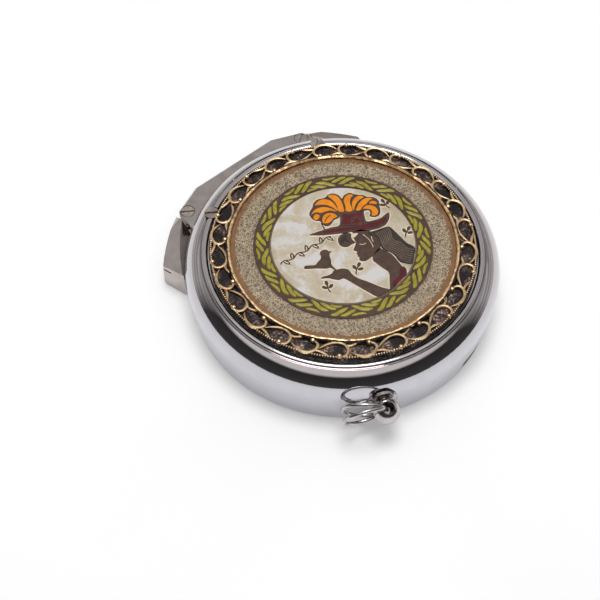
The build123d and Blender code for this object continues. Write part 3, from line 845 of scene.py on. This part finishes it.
def notch_shade_lip():
    """Rim of the base that shows in the fingernail notch, near-black as painted shade for the
    inside of the notch.
    """
    bm = bmesh.new()
    lip_r, lip_z = 23.85, 0.62
    arc = [polar(NOTCH_AZ + t, lip_r) for t in (-8.6, -7, -3.5, 0, 3.5, 7, 8.6)]
    bead_string(bm, arc, [0.25, 0.55, 0.58, 0.58, 0.58, 0.55, 0.25], lip_z)
    # near-black rim: painted shade inside the notch
    piece("notch_shade_lip", bm, NOTCH_SHADE_STEEL, "base")


# ---- studio -------------------------------------------------------------------------------
def studio():
    """Pale table that the box stands on, a soft fill from above, and the room round them."""
    mat, tree, shader = surface("pale_table", Roughness=0.9, Emission_Color=(1.0, 1.0, 1.0, 1.0),
                                Emission_Strength=0.2)
    tone = noise(tree, mm_coords(tree), 0.02, 2.0)
    coat_with(tree, shader, ramp(tree, tone, (0.3, grey(0.86)), (0.7, grey(0.9))))
    bm = bmesh.new()
    bmesh.ops.create_grid(bm, x_segments=8, y_segments=8, size=2.0)
    mesh = bpy.data.meshes.new("table_top")
    bm.to_mesh(mesh)
    bm.free()
    mesh.materials.append(mat)
    table = bpy.data.objects.new("table_top", mesh)
    bpy.context.scene.collection.objects.link(table)
    sky()
    lamp("ceiling_fill", (28, 32, 600), (0, 0, 0), 300, 1.6)


def lamp(name, place, aim, size, power):
    """Round area light; its place, aim and size are in mm, its power in watts."""
    light = bpy.data.lights.new(name, "AREA")
    light.shape = "DISK"
    light.size = size * MM
    light.energy = power
    obj = bpy.data.objects.new(name, light)
    bpy.context.scene.collection.objects.link(obj)
    obj.location = Vector(place) * MM
    obj.rotation_euler = ((Vector(aim) - Vector(place)) * MM).to_track_quat("-Z", "Y").to_euler()


def sky():
    """Room that the metal mirrors: streaky bright walls and ceiling, a dark corner in front.

    The camera itself sees a plain pale backdrop.
    """
    world = bpy.data.worlds.new("studio_room")
    bpy.context.scene.world = world
    world.use_nodes = True
    tree = world.node_tree
    tree.nodes.clear()
    way = add(tree, "ShaderNodeTexCoord").outputs["Generated"]
    height = add(tree, "ShaderNodeSeparateXYZ", {"Vector": way}).outputs["Z"]
    streaks = ((0.0, 0.40), (0.10, 0.70), (0.18, 0.28), (0.27, 0.62), (0.36, 0.25), (0.44, 0.66),
               (0.52, 0.40), (0.68, 0.56), (0.86, 0.56), (0.93, 1.0))
    walls = ramp(tree, height, *((level, grey(tone)) for level, tone in streaks))
    corner = ramp(tree, height, (0.0, grey(0.06)), (0.68, grey(0.035)), (0.78, grey(0.85)))
    front = add(tree, "ShaderNodeVectorMath", {0: way, 1: (-0.7, -0.7, 0)},
                operation="DOT_PRODUCT").outputs["Value"]
    share = share_between(tree, front, -0.3, 0.0)
    glow = add(tree, "ShaderNodeMix", {0: share, 6: walls, 7: corner}, data_type="RGBA").outputs[2]
    room = add(tree, "ShaderNodeBackground", {"Color": glow, "Strength": 1.0})
    pale = add(tree, "ShaderNodeBackground", {"Color": (0.93, 0.93, 0.93, 1), "Strength": 1.0})
    path = add(tree, "ShaderNodeLightPath")
    both = add(tree, "ShaderNodeMixShader", {
        0: path.outputs["Is Camera Ray"], 1: room.outputs[0], 2: pale.outputs[0]})
    add(tree, "ShaderNodeOutputWorld", {"Surface": both.outputs[0]})


def camera():
    """Looks down on the box from its front left."""
    data = bpy.data.cameras.new("studio_camera")
    data.lens = 63
    data.sensor_width = 36
    data.clip_start = 0.01
    obj = bpy.data.objects.new("studio_camera", data)
    bpy.context.scene.collection.objects.link(obj)
    place = Vector((-70.2, -70.2, 141.9)) * MM
    aim = Vector((-12.1, -3.65, 11.6)) * MM
    obj.location = place
    obj.rotation_euler = (aim - place).to_track_quat("-Z", "Y").to_euler()
    bpy.context.scene.camera = obj


# ---- the box ------------------------------------------------------------------------------
def finish_cad():
    """Gives every CAD piece its material."""
    coats = {
        CHROME: ("lid_shell",),
        WORN_PLATE: ("hinge_ear_left", "hinge_ear_right", "hinge_bracket", "hinge_cover"),
        WIRE_STEEL: ("ball_stud", "split_ring"),
        SCREW_STEEL: ("ear_screws", "hinge_pins", "catch_rivets", "cover_screws", "rim_screws",
                      "stud_washer", "stud_nut"),
        TRAY: ("base_plate", "tray_pan"), SPRING: ("catch_spring",), LINING: ("lid_liner",),
        BLACKENED: ("ornament_ring",), EDGE_AMBER_AND_SHADE: ("medallion_plate",), PEARL: ("picture_enamel",),
        LINE_BROWN: ("wreath_enamel",),
    }
    for material, names in coats.items():
        for name in names:
            mesh = NODES[name].data
            mesh.materials.clear()
            mesh.materials.append(material)


camera()
studio()
finish_cad()
gilt_frame()
gilt_border()
medallion()
notch_shade_lip()

bpy.context.scene.view_settings.view_transform = "Standard"
